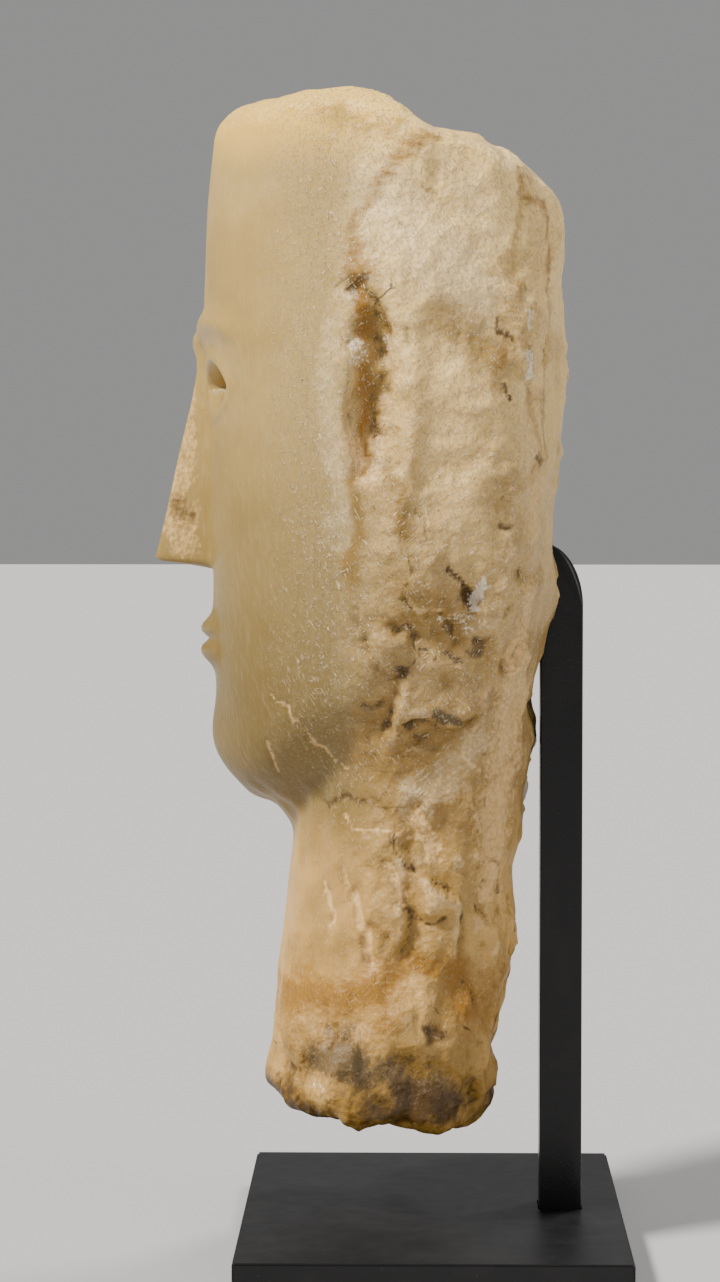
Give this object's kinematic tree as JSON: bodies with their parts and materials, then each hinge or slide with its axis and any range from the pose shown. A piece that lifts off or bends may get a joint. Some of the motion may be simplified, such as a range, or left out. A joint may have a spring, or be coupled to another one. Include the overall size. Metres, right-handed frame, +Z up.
{
  "type": "carved stone head on a stand",
  "caption": "Ancient carved alabaster head with a long neck, smooth face, hollow eyes and rough back, held by a black steel post on a flat base plate.",
  "frame": {"origin": "middle of the base plate's underside", "axes": "+Z up, the face looks along -Y, the head's left side is at +X"},
  "size_m": [0.15, 0.1328, 0.3256],
  "materials": {
    "alabaster": "smooth, slightly translucent alabaster in front, rough-dressed and iron-stained behind",
    "post_steel": "satin black",
    "base_steel": "satin black"
  },
  "bodies": {
    "root": {"alabaster_head": "alabaster", "stand_post": "post_steel", "stand_base": "base_steel"}
  },
  "joints": []
}
